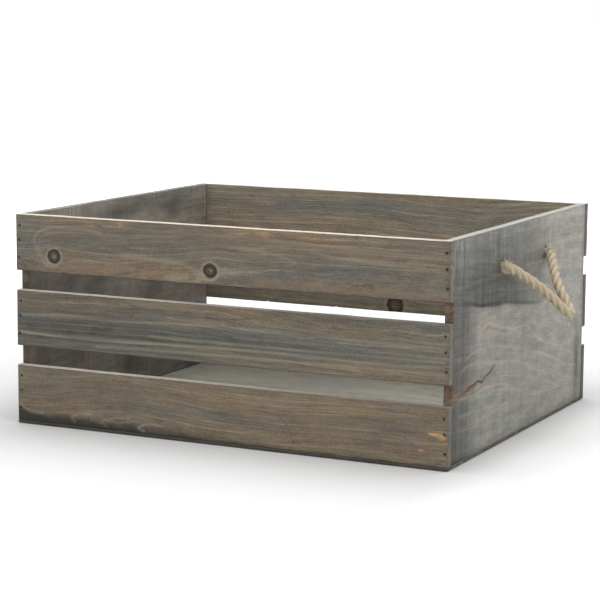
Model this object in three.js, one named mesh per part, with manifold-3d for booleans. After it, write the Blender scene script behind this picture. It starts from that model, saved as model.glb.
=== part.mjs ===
// Slatted wooden apple crate with rope handles.
//
// Two solid end panels carry three slats on the front and three on the back, held by brads driven through
// the slats into the panels' edges. A thin sheet under the lot is the floor. A short rope hangs on each end
// through two holes in the panel, with a knot inside on each end of it.
//
// Millimetres. +X runs along the crate, +Y to its back, +Z up. The origin is the middle of the underside.

import * as THREE from "three";
import { mergeVertices } from "three/addons/utils/BufferGeometryUtils.js";
import Module from "manifold-3d";

// Overall size
const crateLength = 457;
const crateDepth = 381;

// Boards
const slatNames = ["bottom", "middle", "top"];
const slatWidth = 55.5;
const slatGap = 19;
const slatThickness = 9;
const endThickness = 9;
const sheetThickness = 3;
const sheetCornerRadius = 3;
const easedEdge = 0.7;

// Brads: a head on a thin shank with a point, set a little below the face of the wood
const bradLength = 25;
const sheetBradLength = 16;
const bradShankRadius = 0.65;
const bradHeadRadius = 1.05;
const bradHeadHeight = 0.8;
const bradPointLength = 2;
const bradSetDepth = 0.6;
const bradClearance = 0.3;
const bradSides = 6;
const bradInset = 3.8; // from the slat's end to the middle brad
const bradDrops = [11, 25.5, 43]; // from the slat's top edge
const bradScatter = [-0.7, 0, 0.6]; // along the slat, because they were driven by hand
const sheetBradsPerEnd = 4;
const sheetBradCornerRoom = 14; // between a slat's brad points and the first brad of the sheet

// Rope handles
const ropeRadius = 4;
const ropeHoleClearance = 0.75;
const ropeHoleDrop = 36.5; // from the rim to the holes' centre
const ropeFaceGap = 0.5; // between the panel and a rope that lies against it
const ropeEndGap = 0.3; // between the rope in a hole and the loop outside it
const ropeRestAngle = 50; // degrees below the horizontal
const ropeSides = 10;
const ropeSteps = 46;
const ropeHoleSides = 20;
// Half of the loop's centreline in its own plane: the distance out from the holes' axis, and from the middle.
const loopHalf = [
  [0, 61],
  [6, 53],
  [14, 43],
  [24, 31.5],
  [34, 22],
  [44, 15],
  [53, 10.8],
  [60, 7.4],
  [64.6, 3.6],
];
const loopTip = [66, 0];
const knotRadii = [9.5, 9.5, 9];
const knotSag = 4; // the knot's middle below the hole's
const knotSides = 14;
const knotRings = 9;
const tailRadius = 3.8;
const tailReach = 19; // from the knot's middle to the cut end
const tailSlope = 55; // degrees below the horizontal

// Worked out from the sizes above
const slatPitch = slatWidth + slatGap;
const crateHeight = sheetThickness + slatNames.length * slatPitch - slatGap;
const panelHeight = crateHeight - sheetThickness;
const panelDepth = crateDepth - 2 * slatThickness;
const halfLength = crateLength / 2;
const halfDepth = crateDepth / 2;
const ropeAxisHeight = crateHeight - ropeHoleDrop;
const ropeAxisOut = halfLength + ropeRadius + ropeFaceGap;
const holeSpread = loopHalf[0][1];

const wasm = await Module();
wasm.setup();

const slatWood = new THREE.MeshStandardMaterial({ color: 0x736b5c, roughness: 0.85, metalness: 0 });
const panelWood = new THREE.MeshStandardMaterial({ color: 0x8c8983, roughness: 0.85, metalness: 0 });
const sheetWood = new THREE.MeshStandardMaterial({ color: 0x89857c, roughness: 0.9, metalness: 0 });
const ropeFibre = new THREE.MeshStandardMaterial({ color: 0xa3957b, roughness: 0.95, metalness: 0 });
const bradSteel = new THREE.MeshStandardMaterial({ color: 0x2b2723, roughness: 0.5, metalness: 1 });

const crate = new THREE.Group();

function addMesh(parent, name, geometry, material) {
  const mesh = new THREE.Mesh(geometry, material);
  mesh.name = name;
  parent.add(mesh);
  return mesh;
}

// A closed geometry as a manifold-3d solid.
function toSolid(geometry) {
  const bare = geometry.clone();
  bare.deleteAttribute("normal");
  bare.deleteAttribute("uv");
  const merged = mergeVertices(bare, 1e-4);
  return new wasm.Manifold(
    new wasm.Mesh({
      numProp: 3,
      vertProperties: new Float32Array(merged.attributes.position.array),
      triVerts: new Uint32Array(merged.index.array),
    }),
  );
}

function toGeometry(solid) {
  const mesh = solid.getMesh();
  return new THREE.BufferGeometry()
    .setAttribute("position", new THREE.BufferAttribute(mesh.vertProperties, 3))
    .setIndex(new THREE.BufferAttribute(mesh.triVerts, 1));
}

function cutFrom(geometry, cutters) {
  return toGeometry(cutters.reduce((solid, cutter) => solid.subtract(toSolid(cutter)), toSolid(geometry)));
}

// Moves a geometry's own X, Y and Z onto other axes without any rounding.
function alongAxes(geometry, x, y, z) {
  const axes = { x: new THREE.Vector3(1, 0, 0), y: new THREE.Vector3(0, 1, 0), z: new THREE.Vector3(0, 0, 1) };
  return geometry.applyMatrix4(new THREE.Matrix4().makeBasis(axes[x], axes[y], axes[z]));
}

// A board's section, its long edges eased, from its lower left corner.
function boardSection(thickness, width) {
  const e = easedEdge;
  return new THREE.Shape([
    new THREE.Vector2(e, 0),
    new THREE.Vector2(thickness - e, 0),
    new THREE.Vector2(thickness, e),
    new THREE.Vector2(thickness, width - e),
    new THREE.Vector2(thickness - e, width),
    new THREE.Vector2(e, width),
    new THREE.Vector2(0, width - e),
    new THREE.Vector2(0, e),
  ]);
}

// A brad standing on its point's line along -Y: its head's top is at y = -set depth, with room all round if grown.
// A grown one is the hole that the brad sits in, open at the face of the wood.
function bradForm(length, grow) {
  const shank = bradShankRadius + grow;
  const head = bradHeadRadius + grow;
  const top = grow > 0 ? 1 : -bradSetDepth;
  const headFoot = -bradSetDepth - bradHeadHeight - grow;
  const tip = -bradSetDepth - length - grow;
  const profile = [
    new THREE.Vector2(0, tip),
    new THREE.Vector2(shank, tip + bradPointLength),
    new THREE.Vector2(shank, headFoot),
    new THREE.Vector2(head, headFoot),
    new THREE.Vector2(head, top),
    new THREE.Vector2(0, top),
  ];
  return new THREE.LatheGeometry(profile, bradSides);
}

// Turns a brad, or its hole, to drive towards +Y, -Y or +Z.
function bradDriven(form, direction) {
  const turns = {
    back: new THREE.Matrix4().set(1, 0, 0, 0, 0, -1, 0, 0, 0, 0, -1, 0, 0, 0, 0, 1),
    front: new THREE.Matrix4(),
    up: new THREE.Matrix4().set(1, 0, 0, 0, 0, 0, 1, 0, 0, -1, 0, 0, 0, 0, 0, 1),
  };
  return form.applyMatrix4(turns[direction]);
}

// Each brad's name, place on the face of the wood, direction and the board that it holds.
function bradPlaces() {
  const places = [];
  for (const side of ["front", "back"]) {
    slatNames.forEach((slat, row) => {
      const slatTop = sheetThickness + row * slatPitch + slatWidth;
      for (const end of ["left", "right"]) {
        bradDrops.forEach((drop, k) => {
          const inset = bradInset + bradScatter[end === side ? k : bradScatter.length - 1 - k];
          const x = (end === "left" ? -1 : 1) * (halfLength - inset);
          const y = (side === "front" ? -1 : 1) * halfDepth;
          places.push({
            name: `brad_${side}_${slat}_${end}_${k + 1}`,
            at: new THREE.Vector3(x, y, slatTop - drop),
            direction: side === "front" ? "back" : "front",
            length: bradLength,
            board: `slat_${side}_${slat}`,
            end,
          });
        });
      }
    });
  }
  const reach = halfDepth - bradSetDepth - bradLength - sheetBradCornerRoom;
  for (const end of ["left", "right"]) {
    for (let k = 0; k < sheetBradsPerEnd; k++) {
      places.push({
        name: `brad_sheet_${end}_${k + 1}`,
        at: new THREE.Vector3(
          (end === "left" ? -1 : 1) * (halfLength - endThickness / 2),
          -reach + (2 * reach * k) / (sheetBradsPerEnd - 1),
          0,
        ),
        direction: "up",
        length: sheetBradLength,
        board: "floor_sheet",
        end,
      });
    }
  }
  return places;
}

const brads = bradPlaces();

function bradHole(brad) {
  return bradDriven(bradForm(brad.length, bradClearance), brad.direction).translate(brad.at.x, brad.at.y, brad.at.z);
}

function addBrads() {
  for (const brad of brads) {
    const form = bradDriven(bradForm(brad.length, 0), brad.direction);
    addMesh(crate, brad.name, form, bradSteel).position.copy(brad.at);
  }
}

function addSlats() {
  for (const side of ["front", "back"]) {
    slatNames.forEach((slat, row) => {
      const name = `slat_${side}_${slat}`;
      const board = new THREE.ExtrudeGeometry(boardSection(slatThickness, slatWidth), {
        depth: crateLength,
        bevelEnabled: false,
      });
      alongAxes(board, "y", "z", "x").translate(
        -halfLength,
        side === "front" ? -halfDepth : halfDepth - slatThickness,
        sheetThickness + row * slatPitch,
      );
      const holes = brads.filter((brad) => brad.board === name).map(bradHole);
      addMesh(crate, name, cutFrom(board, holes), slatWood);
    });
  }
}

// A rope hole, right through an end panel along X.
function ropeHole(end, spread) {
  const overcut = 2;
  const radius = ropeRadius + ropeHoleClearance;
  const hole = new THREE.CylinderGeometry(radius, radius, endThickness + overcut, ropeHoleSides);
  return alongAxes(hole, "z", "x", "y").translate(
    (end === "left" ? -1 : 1) * (halfLength - endThickness / 2),
    spread,
    ropeAxisHeight,
  );
}

function addEndPanels() {
  for (const end of ["left", "right"]) {
    const board = new THREE.ExtrudeGeometry(boardSection(panelHeight, endThickness), {
      depth: panelDepth,
      bevelEnabled: false,
    });
    alongAxes(board, "z", "x", "y").translate(
      end === "left" ? -halfLength : halfLength - endThickness,
      -panelDepth / 2,
      sheetThickness,
    );
    const holes = brads.filter((brad) => brad.end === end).map(bradHole);
    holes.push(ropeHole(end, -holeSpread), ropeHole(end, holeSpread));
    addMesh(crate, `end_panel_${end}`, cutFrom(board, holes), panelWood);
  }
}

function addFloorSheet() {
  const r = sheetCornerRadius;
  const outline = new THREE.Shape();
  outline.absarc(halfLength - r, halfDepth - r, r, 0, Math.PI / 2);
  outline.absarc(-halfLength + r, halfDepth - r, r, Math.PI / 2, Math.PI);
  outline.absarc(-halfLength + r, -halfDepth + r, r, Math.PI, 1.5 * Math.PI);
  outline.absarc(halfLength - r, -halfDepth + r, r, 1.5 * Math.PI, 2 * Math.PI);
  const sheet = new THREE.ExtrudeGeometry(outline, { depth: sheetThickness, bevelEnabled: false, curveSegments: 4 });
  const holes = brads.filter((brad) => brad.board === "floor_sheet").map(bradHole);
  addMesh(crate, "floor_sheet", cutFrom(sheet, holes), sheetWood);
}

// The loop outside the panel: a plain tube on the rope's centreline, in a plane that tips down from the holes' axis.
function ropeLoop() {
  const place = ([out, across]) => new THREE.Vector3(out, across, 0);
  const route = new THREE.CatmullRomCurve3([
    ...loopHalf.map(([out, across]) => place([out, -across])),
    place(loopTip),
    ...loopHalf.map(place).reverse(),
  ]);
  const section = new THREE.Shape().absarc(0, 0, ropeRadius, 0, 2 * Math.PI);
  return new THREE.ExtrudeGeometry(new THREE.Shape(section.getPoints(ropeSides).slice(0, ropeSides)), {
    steps: ropeSteps,
    extrudePath: route,
    bevelEnabled: false,
  });
}

// The rope inside: it fills the hole, swells to a knot against the panel and ends in a short cut tail.
function ropeKnot() {
  const inner = halfLength - endThickness;
  const stubStart = inner - knotRadii[0];
  const stubEnd = halfLength + ropeFaceGap - ropeEndGap;
  const stub = new THREE.CylinderGeometry(ropeRadius, ropeRadius, stubEnd - stubStart, ropeHoleSides);
  alongAxes(stub, "z", "x", "y").translate((stubStart + stubEnd) / 2, 0, 0);
  const knot = new THREE.SphereGeometry(1, knotSides, knotRings);
  const middle = new THREE.Vector3(inner - ropeEndGap - knotRadii[0], 0, -knotSag);
  knot.scale(...knotRadii).translate(middle.x, middle.y, middle.z);
  const tail = new THREE.CylinderGeometry(tailRadius, tailRadius, tailReach, ropeSides);
  tail.translate(0, tailReach / 2, 0).rotateZ(Math.PI / 2).rotateY(-THREE.MathUtils.degToRad(tailSlope));
  tail.translate(middle.x, middle.y, middle.z);
  return toGeometry(toSolid(stub).add(toSolid(knot)).add(toSolid(tail)));
}

function addRopes() {
  for (const end of ["left", "right"]) {
    const half = new THREE.Group();
    half.rotation.z = end === "left" ? Math.PI : 0;
    half.position.z = ropeAxisHeight;
    crate.add(half);
    const loop = addMesh(half, `rope_handle_${end}`, ropeLoop(), ropeFibre);
    loop.position.x = ropeAxisOut;
    loop.rotation.y = THREE.MathUtils.degToRad(ropeRestAngle);
    for (const side of ["front", "back"]) {
      const turned = (side === "front") === (end === "right") ? -1 : 1;
      addMesh(half, `rope_knot_${end}_${side}`, ropeKnot(), ropeFibre).position.y = turned * holeSpread;
    }
  }
}

addFloorSheet();
addEndPanels();
addSlats();
addBrads();
addRopes();

export default crate;
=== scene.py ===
import math
import bpy
import numpy as np
from mathutils import Matrix, Vector


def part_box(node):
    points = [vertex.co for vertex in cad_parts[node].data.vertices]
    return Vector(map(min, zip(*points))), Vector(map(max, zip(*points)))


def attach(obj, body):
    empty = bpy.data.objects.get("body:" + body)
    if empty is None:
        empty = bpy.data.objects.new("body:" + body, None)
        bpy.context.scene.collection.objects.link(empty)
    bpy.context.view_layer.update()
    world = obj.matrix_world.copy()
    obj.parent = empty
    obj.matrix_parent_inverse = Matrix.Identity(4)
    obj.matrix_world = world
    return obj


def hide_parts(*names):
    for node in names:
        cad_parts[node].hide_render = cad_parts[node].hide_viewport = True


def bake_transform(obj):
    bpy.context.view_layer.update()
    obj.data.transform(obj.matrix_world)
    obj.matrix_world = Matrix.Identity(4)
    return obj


# Slatted wooden crate with a knotted rope handle on each end.
# Lengths are written in millimetres and turned into metres when a mesh is made.

mm = 0.001
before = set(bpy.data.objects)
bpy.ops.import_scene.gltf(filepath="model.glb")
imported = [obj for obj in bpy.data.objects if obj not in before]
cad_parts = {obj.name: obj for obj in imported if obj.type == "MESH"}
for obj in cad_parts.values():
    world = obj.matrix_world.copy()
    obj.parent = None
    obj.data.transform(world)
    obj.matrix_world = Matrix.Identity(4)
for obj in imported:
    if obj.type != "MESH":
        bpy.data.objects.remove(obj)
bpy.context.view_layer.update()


def nodeBox(name):
    low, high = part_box(name)
    return np.array(low) / mm, np.array(high) / mm


crateLow, crateHigh = nodeBox("floor_sheet")
crateHigh[2] = nodeBox("slat_front_top")[1][2]
panelLow, panelHigh = nodeBox("end_panel_right")
print("frame loaded, crate measures", crateHigh - crateLow)

# camera

cameraSetup = {
    "place": (893.33, -1850.54, 422.25),
    "turn": 0.45517,
    "tip": 0.14906,
    "roll": 0.0067,
    "lens": 122.75,
    "sensor": 36.0,
    "seesTo": 100.0,  # metres
}


def addCamera(setup):
    data = bpy.data.cameras.new("camera")
    data.lens, data.sensor_width, data.clip_end = setup["lens"], setup["sensor"], setup["seesTo"]
    camera = bpy.data.objects.new("camera", data)
    bpy.context.scene.collection.objects.link(camera)
    turned = Matrix.Rotation(setup["turn"], 4, "Z") @ Matrix.Rotation(math.pi / 2 - setup["tip"], 4, "X")
    rolled = Matrix.Rotation(setup["roll"], 4, "Z")
    camera.matrix_world = Matrix.Translation(Vector(setup["place"]) * mm) @ turned @ rolled
    bpy.context.scene.camera = camera


addCamera(cameraSetup)

# shared helpers


def wander(x, step, seed):
    # Random values at every step along x, joined by smooth curves, from -1 to 1
    table = np.random.default_rng(seed).uniform(-1, 1, 4096)
    cell = np.floor(np.asarray(x) / step).astype(int)
    part = np.asarray(x) / step - cell
    part = part * part * (3 - 2 * part)
    return table[cell % 4096] * (1 - part) + table[(cell + 1) % 4096] * part


def smoothStep(x, low, high):
    t = np.clip((x - low) / (high - low), 0, 1)
    return t * t * (3 - 2 * t)


def blob(a, b, centreA, centreB, sizeA, sizeB):
    return np.exp(-(((a - centreA) / sizeA) ** 2) - ((b - centreB) / sizeB) ** 2)


def makePiece(name, vertices, faces, material, attributes=None):
    # vertices in millimetres, faces as lists of corner numbers, attributes as one vector for each vertex
    mesh = bpy.data.meshes.new(name)
    mesh.from_pydata((vertices * mm).tolist(), [], faces)
    for key, values in (attributes or {}).items():
        layer = mesh.attributes.new(key, "FLOAT_VECTOR", "POINT")
        layer.data.foreach_set("vector", values.astype(np.float32).ravel())
    mesh.shade_smooth()
    mesh.materials.append(material)
    piece = bpy.data.objects.new(name, mesh)
    bpy.context.scene.collection.objects.link(piece)
    return piece


# material helpers


def tone(red, green, blue):
    # A colour written as it looks on screen, from 0 to 255
    levels = np.array([red, green, blue]) / 255
    linear = np.where(levels <= 0.04045, levels / 12.92, ((levels + 0.055) / 1.055) ** 2.4)
    return (*linear.tolist(), 1.0)


def addNode(tree, kind, values=None, **settings):
    node = tree.nodes.new("ShaderNode" + kind)
    for key, value in settings.items():
        setattr(node, key, value)
    for key, value in (values or {}).items():
        if isinstance(value, bpy.types.NodeSocket):
            tree.links.new(value, node.inputs[key])
        else:
            node.inputs[key].default_value = value
    return node


def calc(tree, operation, *terms, clamp=False):
    return addNode(tree, "Math", dict(enumerate(terms)), operation=operation, use_clamp=clamp).outputs[0]


def band(tree, value, low, high, start=0.0, end=1.0):
    # start below low, end above high, a smooth change between
    return addNode(
        tree, "MapRange", {0: value, 1: low, 2: high, 3: start, 4: end}, interpolation_type="SMOOTHSTEP"
    ).outputs[0]


def noise(tree, vector, factors, shift, detail, roughness, distortion=0.0):
    # factors stretch the pattern in three directions, shift moves it to other values
    terms = {0: vector, 1: factors, 2: shift}
    place = addNode(tree, "VectorMath", terms, operation="MULTIPLY_ADD").outputs[0]
    settings = {"Scale": 1.0, "Detail": detail, "Roughness": roughness, "Distortion": distortion}
    return addNode(tree, "TexNoise", {"Vector": place, **settings}).outputs[0]


def mixed(tree, amount, first, second, blend="MIX"):
    node = addNode(tree, "Mix", data_type="RGBA", blend_type=blend)
    for key, value in ((0, amount), (6, first), (7, second)):
        if isinstance(value, bpy.types.NodeSocket):
            tree.links.new(value, node.inputs[key])
        else:
            node.inputs[key].default_value = value
    return node.outputs[2]


def ramp(tree, value, stops):
    node = addNode(tree, "ValToRGB", {0: value})
    for place, colour in stops[1:-1]:
        node.color_ramp.elements.new(place)
    for element, (place, colour) in zip(node.color_ramp.elements, stops):
        element.position, element.color = place, colour
    return node.outputs[0]


def newMaterial(name):
    material = bpy.data.materials.new(name)
    material.use_nodes = True
    return material, material.node_tree, material.node_tree.nodes["Principled BSDF"]


def attribute(tree, name):
    return addNode(tree, "Attribute", attribute_name=name).outputs["Vector"]


def channels(tree, vector):
    return addNode(tree, "SeparateXYZ", {0: vector}).outputs


def grey(tree, level):
    return addNode(tree, "CombineColor", {0: level, 1: level, 2: level}).outputs[0]


def finishShader(tree, shader, colour, roughness, height, depth):
    tree.links.new(colour, shader.inputs["Base Color"])
    tree.links.new(roughness, shader.inputs["Roughness"])
    bump = addNode(tree, "Bump", {"Height": height, "Strength": 1.0, "Distance": depth * mm})
    tree.links.new(bump.outputs[0], shader.inputs["Normal"])


# ropes

ropeShape = {
    "diameter": 8.0,
    "axisOut": 4.5,  # the loop's swing axis stands this far off the panel
    "restAngle": 50.0,  # the loop tips this far below level
    # out from the swing axis, and to the side of the middle
    "loopHalf": [(6, 53), (14, 43), (24, 31.5), (34, 22), (44, 15), (53, 10.8), (60, 7.4), (64.6, 3.6)],
    "loopTip": (66, 0),
    "holeSpread": 61.0,
    "holeDrop": 36.5,
    # out from the panel's face, and up from the middle of the hole
    "throughHole": [(-18.8, -4), (-14, -2.4), (-9, -0.8), (-4, -0.1), (0.6, -0.2), (4.2, -1.7)],
    "strands": 3,
    "strandOffset": 2.45,
    "strandRadius": 2.2,
    "grooveFill": 3.75,
    "grooveSoftness": 0.35,
    "pitch": 31.0,
    "yarnDepth": 0.09,
    "yarns": 5,
    "yarnPitch": 9.0,
    "swells": ((0.03, 7.0), (0.02, 17.0)),  # how much thicker or thinner, over what length
    "inHole": 0.92,  # the share of its thickness left where it is pulled through its hole
    "atMouth": 0.07,  # how much it swells just outside
    "bendsOver": 10.0,  # the swing fades in over this length outside the panel
    "stepAlong": 0.7,
    "around": 54,
}
knotShape = {
    "drop": 4.0,  # the knot sags this far below the hole
    "wrapRadius": 5.3,
    "wrapIn": (15.0, 5.0),  # how far in from the panel the wraps start and end
    "turns": 1.5,
    "scale": 0.78,  # the rope is pulled thinner in its knot
    "tailLength": 17.0,
    "tailAngle": 55.0,
}
hairLook = {
    "count": 2600,
    "lengths": (1.2, 4.2),
    "width": 0.2,
    "knotCount": 500,
    "mouthCount": 900,
    "mouthLengths": (2.0, 5.2),
    "mouthWidth": 0.36,
    "tailCount": 260,
    "tailLengths": (3.0, 9.0),
    "tailWidth": 0.3,
    "tailFrom": 4.0,  # the tuft grows from this much of the rope's end
    "rooted": 0.25,  # how deep each hair starts under the surface
}
holeHeight = crateHigh[2] - ropeShape["holeDrop"]


def smoothPath(points, step):
    # A Catmull-Rom curve through the points, sampled evenly; each stretch is a cubic of the four about it
    points = np.array(points, float)
    padded = np.vstack([2 * points[0] - points[1], points, 2 * points[-1] - points[-2]])
    t = np.linspace(0, 1, 24, endpoint=False)[None, :, None]
    p0, p1, p2, p3 = (padded[k : len(padded) - 3 + k][:, None, :] for k in range(4))
    square = 2 * p0 - 5 * p1 + 4 * p2 - p3
    cube = 3 * p1 - p0 - 3 * p2 + p3
    curve = 0.5 * (2 * p1 + (p2 - p0) * t + square * t**2 + cube * t**3)
    curve = np.vstack([curve.reshape(-1, 3), points[-1]])
    along = np.concatenate([[0], np.cumsum(np.linalg.norm(np.diff(curve, axis=0), axis=1))])
    even = np.linspace(0, along[-1], max(3, int(round(along[-1] / step)) + 1))
    return np.stack([np.interp(even, along, curve[:, k]) for k in range(3)], axis=1), even


def unit(vectors):
    return vectors / np.linalg.norm(vectors, axis=-1, keepdims=True)


def pathFrames(path, hint):
    # Two directions square to the path at each point, carried along it with no twist of their own
    ahead = unit(np.gradient(path, axis=0))
    side = np.empty_like(path)
    last = np.array(hint, float)
    for k, direction in enumerate(ahead):
        last = unit(last - direction * (last @ direction))
        side[k] = last
    return ahead, side, np.cross(ahead, side)


def layTube(points, hint, shape, thickness, endRounding=3.0):
    # A laid rope: strands side by side make the outline, radius = offset * cos + sqrt(strand^2 - offset^2 *
    # sin^2) about the nearest strand, softly filled in the grooves, and the outline turns once in each
    # pitch along the path. Yarns ripple each strand. thickness(path) scales the rope along its way.
    path, along = smoothPath(points, shape["stepAlong"])
    ahead, side, other = pathFrames(path, hint)
    angle = np.linspace(0, 2 * math.pi, shape["around"], endpoint=False)[None, :]
    turned = angle - 2 * math.pi * along[:, None] / shape["pitch"]
    sector = 2 * math.pi / shape["strands"]
    strandNumber = np.floor((turned + sector / 2) / sector)
    within = (turned + sector / 2) % sector - sector / 2
    offset, strand = shape["strandOffset"], shape["strandRadius"]
    outline = offset * np.cos(within) + np.sqrt(np.maximum(strand**2 - (offset * np.sin(within)) ** 2, 0))
    over = outline - shape["grooveFill"]
    radius = shape["grooveFill"] + (over + np.sqrt(over**2 + shape["grooveSoftness"] ** 2)) / 2
    groove = 1 - smoothStep(over, -0.3, 0.55)
    yarn = np.cos(
        within * 2 * math.pi / sector * shape["yarns"] + along[:, None] * 2 * math.pi / shape["yarnPitch"]
    )
    (strandSwell, strandRun), (ropeSwell, ropeRun) = shape["swells"]
    swell = 1 + strandSwell * wander(along[:, None] + 40 * strandNumber, strandRun, 5)
    swell = swell + ropeSwell * wander(along[:, None], ropeRun, 6)
    radius = (radius * swell + shape["yarnDepth"] * yarn * (1 - groove)) * thickness(path)[:, None]
    rounding = np.clip(np.minimum(along, along[-1] - along)[:, None] / endRounding, 0, 1)
    radius = radius * np.sqrt(1 - (1 - rounding) ** 2)
    radial = np.cos(angle)[..., None] * side[:, None, :] + np.sin(angle)[..., None] * other[:, None, :]
    ring = path[:, None, :] + radius[..., None] * radial
    rows, columns = radius.shape
    wide = np.broadcast_to(along[:, None], radius.shape)
    lay = np.stack([wide, within / sector * 6 + 20 * strandNumber, groove], axis=-1)
    index = np.arange((rows - 2) * columns).reshape(rows - 2, columns)
    after = np.roll(index, -1, axis=1)
    quads = np.stack([index[:-1], index[1:], after[1:], after[:-1]], axis=-1).reshape(-1, 4)
    first, last = index.size, index.size + 1
    caps = [[first, int(p), int(q)] for p, q in zip(index[0], after[0])]
    caps += [[last, int(q), int(p)] for p, q in zip(index[-1], after[-1])]
    vertices = np.vstack([ring[1:-1].reshape(-1, 3), path[:1], path[-1:]])
    return {
        "vertices": vertices,
        "faces": quads.tolist() + caps,
        "lay": np.vstack([lay[1:-1].reshape(-1, 3), [[0, 0, 0], [along[-1], 0, 0]]]),
        "path": path,
        "along": along,
        "ahead": ahead,
        "radial": radial,
        "ring": ring,
    }


def fibreRibbons(base, direction, curl, length, width, seed):
    # Flat tapering hairs, each base + length * (direction * t + curl * t^2) for t from 0 to 1
    rng = np.random.default_rng(seed)
    count, steps = len(base), 5
    t = np.linspace(0, 1, steps)[None, :, None]
    line = base[:, None, :] + length[:, None, None] * (direction[:, None, :] * t + curl[:, None, :] * t**2)
    across = unit(np.cross(direction, rng.normal(size=(count, 3))))[:, None, :]
    half = across * width[:, None, None] * (1 - 0.75 * t) / 2
    vertices = np.stack([line - half, line + half], axis=2).reshape(-1, 3)
    start = (np.arange(count) * steps * 2)[:, None] + np.arange(steps - 1)[None, :] * 2
    quads = np.stack([start, start + 1, start + 3, start + 2], axis=-1).reshape(-1, 4)
    lay = np.stack([rng.uniform(0, 400, count), rng.uniform(0, 60, count), -rng.uniform(0, 1, count)], -1)
    return vertices, quads.tolist(), np.repeat(lay, steps * 2, axis=0)


def tubeHairs(tube, count, lengths, width, seed, chosen=None, lean=0.8, rise=0.45):
    # Hairs that start on a rope's surface, lean along it either way and curl off it
    rng = np.random.default_rng(seed)
    rows = np.arange(3, len(tube["path"]) - 3) if chosen is None else np.nonzero(chosen)[0]
    row = rng.choice(rows, count)
    column = rng.integers(0, tube["ring"].shape[1], count)
    base, radial = tube["ring"][row, column], tube["radial"][row, column]
    ahead = tube["ahead"][row] * np.where(rng.random((count, 1)) < 0.65, 1, -1)
    off = radial * rise * rng.uniform(0.3, 1.3, (count, 1))
    direction = unit(ahead * lean + off + rng.normal(0, 0.22, (count, 3)))
    curl = 0.5 * unit(rng.normal(size=(count, 3)))
    length = rng.uniform(*lengths, count)
    widths = rng.uniform(0.6, 1.3, count) * width
    return fibreRibbons(base - radial * hairLook["rooted"], direction, curl, length, widths, seed + 1)


def joinParts(parts):
    # One mesh of several: vertices and lay stacked, face numbers moved up past what comes before
    vertices, faces, lays, passed = [], [], [], 0
    for points, quads, lay in parts:
        faces += [[corner + passed for corner in face] for face in quads]
        vertices.append(points)
        lays.append(lay)
        passed += len(points)
    return np.vstack(vertices), faces, np.vstack(lays)


# Boards. A board has its own measures: a along the grain from its left end, b up from its lower edge, and c
# in from its outer face. Each is seen with its outer face towards the viewer.

boardShared = {
    "ease": 0.8,  # the worn round along every edge
    "pitRadius": 1.35,
    "pitDepth": 0.8,
    "edgeWander": 0.22,
    "endWander": 0.06,
    "chipDepth": 0.9,
    "chipReach": 6.0,  # how far in from an edge its wandering is felt
    "holeRadius": 4.75,
    "holeSink": 0.7,  # the worn mouth around each hole
    "holeWorn": 1.4,
    "pitGrid": 0.4,  # spacing of the mesh about brads, knots and holes
    "knotGrid": 0.9,
    "holeGrid": 0.8,
}
ease = boardShared["ease"]


def gridLines(length, step, spots=()):
    # Places from 0 to length: five close lines at each rounded edge, even ones between, finer at spots
    inner = np.linspace(ease, length - ease, int(round(length / step)) + 1)[1:-1]
    for centre, reach, fine in spots:
        dense = np.arange(-reach, reach + fine / 2, fine) + centre
        inner = np.concatenate([inner[np.abs(inner - centre) > reach + fine / 2], dense])
    inner = np.sort(inner[(inner > ease * 1.2) & (inner < length - ease * 1.2)])
    rim = ease * (1 - np.cos(np.linspace(0, math.pi / 2, 5)))
    return np.concatenate([rim, inner, length - rim[::-1]])


def nearCells(kept):
    return kept[:-1, :-1] | kept[1:, :-1] | kept[:-1, 1:] | kept[1:, 1:]


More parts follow.
